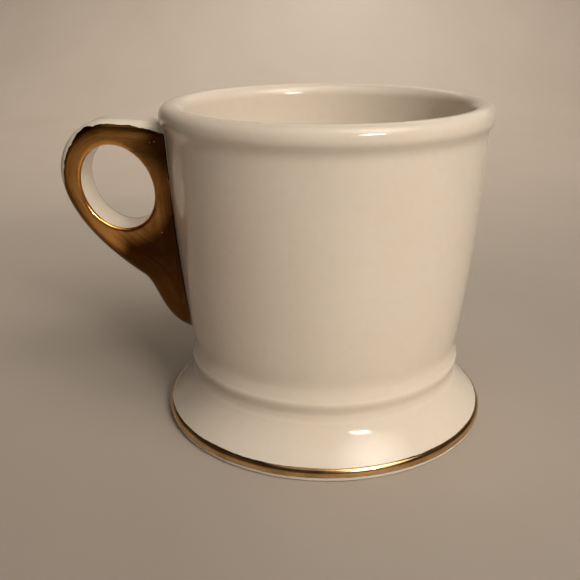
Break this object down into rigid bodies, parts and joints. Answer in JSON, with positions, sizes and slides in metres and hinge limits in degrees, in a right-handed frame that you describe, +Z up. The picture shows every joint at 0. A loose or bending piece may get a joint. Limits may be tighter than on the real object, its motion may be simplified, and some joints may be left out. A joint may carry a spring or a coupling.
{
  "type": "shaving mug",
  "caption": "Heavy glazed ceramic shaving mug with a rolled lip, a flared foot edged in gold, and a gilded ring handle whose tail runs down the wall.",
  "frame": {"origin": "on the surface that the mug stands on, under the middle of its bounding box, so the cup's own axis is 13.4 mm towards +X", "axes": "+Z up, the handle reaches towards -X and its ring lies in the XZ plane"},
  "size_m": [0.1208, 0.094, 0.0898],
  "materials": {
    "glaze": "glossy warm ivory glaze with faint waves and a few tiny dark specks",
    "gilding": "fired gold lustre, brush-streaked, copper brown in the darks, with a slightly uneven painted edge"
  },
  "bodies": {
    "root": {"mug_body": "glaze", "handle": "glaze", "handle_gilding_front": "gilding", "handle_gilding_back": "gilding", "foot_gilding_band": "gilding"}
  },
  "joints": []
}
